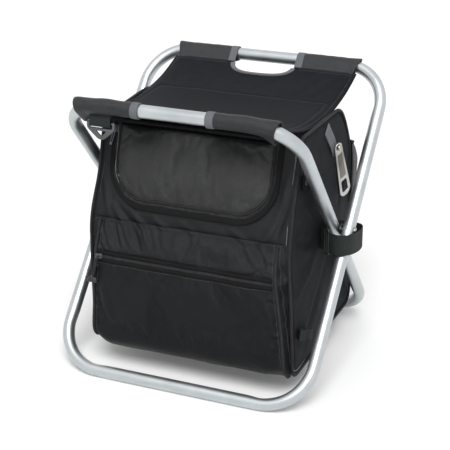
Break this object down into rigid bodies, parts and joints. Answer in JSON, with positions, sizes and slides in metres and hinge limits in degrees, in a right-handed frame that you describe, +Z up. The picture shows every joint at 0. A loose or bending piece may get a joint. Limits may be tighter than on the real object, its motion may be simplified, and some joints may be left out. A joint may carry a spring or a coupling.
{
  "type": "folding cooler stool",
  "caption": "Folding stool of crossed metal tube loops with a sling seat and an insulated zipped cooler bag hung between the legs.",
  "frame": {"origin": "on the floor, under the middle of the stool", "axes": "+X along the bars to the right, -Y to the front with the flap and pocket, +Z up"},
  "size_m": [0.4252, 0.389, 0.4333],
  "materials": {
    "tube": "satin silver",
    "steel": "satin",
    "seat_cloth": "charcoal woven cloth",
    "bag_cloth": "black polyester with a slight sheen",
    "grey_tape": "grey ribbed tape",
    "webbing": "black webbing",
    "zip": "black zip tape",
    "plastic": "dark grey"
  },
  "bodies": {
    "front_frame": {"front_frame_tube": "tube", "pivot_rivet_left": "steel", "pivot_rivet_right": "steel", "opener_rivet": "steel", "seat_panel": "seat_cloth", "front_sleeve_left": "seat_cloth", "front_sleeve_right": "seat_cloth", "bag_front_lower": "bag_cloth", "bag_front_upper": "bag_cloth", "bag_back": "bag_cloth", "bag_base": "bag_cloth", "bag_top": "bag_cloth", "bag_side_left": "bag_cloth", "bag_side_right": "bag_cloth", "front_pocket": "bag_cloth", "rear_pocket": "bag_cloth", "front_binding_left": "grey_tape", "front_binding_right": "grey_tape", "front_hole_binding": "grey_tape", "rear_hole_binding": "grey_tape", "opener_webbing": "grey_tape", "side_strap_left": "webbing", "side_strap_right": "webbing", "d_ring_webbing": "webbing", "seam_tab": "webbing", "lower_tab": "webbing", "piping_left": "webbing", "piping_right": "webbing", "flap_zip_tape": "zip", "pocket_zip_tape": "zip", "pivot_washer_left": "plastic", "pivot_washer_right": "plastic", "strap_buckle_left": "plastic", "strap_buckle_right": "plastic"},
    "rear_frame": {"rear_frame_tube": "tube", "rear_sleeve_left": "seat_cloth", "rear_sleeve_right": "seat_cloth", "rear_binding_left": "grey_tape", "rear_binding_right": "grey_tape"},
    "front_flap": {"front_flap": "bag_cloth"},
    "flap_zip_slider": {"flap_zip_slider": "steel"},
    "flap_zip_pull": {"flap_zip_pull": "steel"},
    "pocket_zip_slider": {"pocket_zip_slider": "steel"},
    "pocket_zip_pull": {"pocket_zip_pull": "plastic"},
    "d_ring": {"d_ring": "plastic"},
    "bottle_opener": {"bottle_opener": "steel"}
  },
  "joints": [
    {"name": "frame_fold", "type": "hinge", "parent": "front_frame", "child": "rear_frame", "pos_m": [0, 0, 0.21935], "axis": [1, 0, 0], "range_deg": [0, 75], "deforming": ["seat_panel", "rear_hole_binding"]},
    {"name": "flap_open", "type": "hinge", "parent": "front_frame", "child": "front_flap", "pos_m": [0, -0.09862, 0.37466], "axis": [-1, 0, 0], "range_deg": [0, 58]},
    {"name": "flap_zip", "type": "slide", "parent": "front_frame", "child": "flap_zip_slider", "axis": [0, -0.2807, -0.9598], "range_m": [0, 0.046]},
    {"name": "flap_pull_swing", "type": "hinge", "parent": "flap_zip_slider", "child": "flap_zip_pull", "pos_m": [-0.1272, -0.1073, 0.37063], "axis": [-1, 0, 0], "range_deg": [0, 110]},
    {"name": "pocket_zip", "type": "slide", "parent": "front_frame", "child": "pocket_zip_slider", "axis": [1, 0, 0], "range_m": [0, 0.26]},
    {"name": "pocket_pull_swing", "type": "hinge", "parent": "pocket_zip_slider", "child": "pocket_zip_pull", "pos_m": [-0.133, -0.1612, 0.187], "axis": [-1, 0, 0], "range_deg": [0, 110]},
    {"name": "d_ring_swing", "type": "hinge", "parent": "front_frame", "child": "d_ring", "pos_m": [-0.112, -0.17789, 0.3975], "axis": [1, 0, 0], "range_deg": [-40, 40]},
    {"name": "opener_swing", "type": "hinge", "parent": "front_frame", "child": "bottle_opener", "pos_m": [0.16185, 0.037, 0.332], "axis": [1, 0, 0], "range_deg": [-45, 25]}
  ]
}
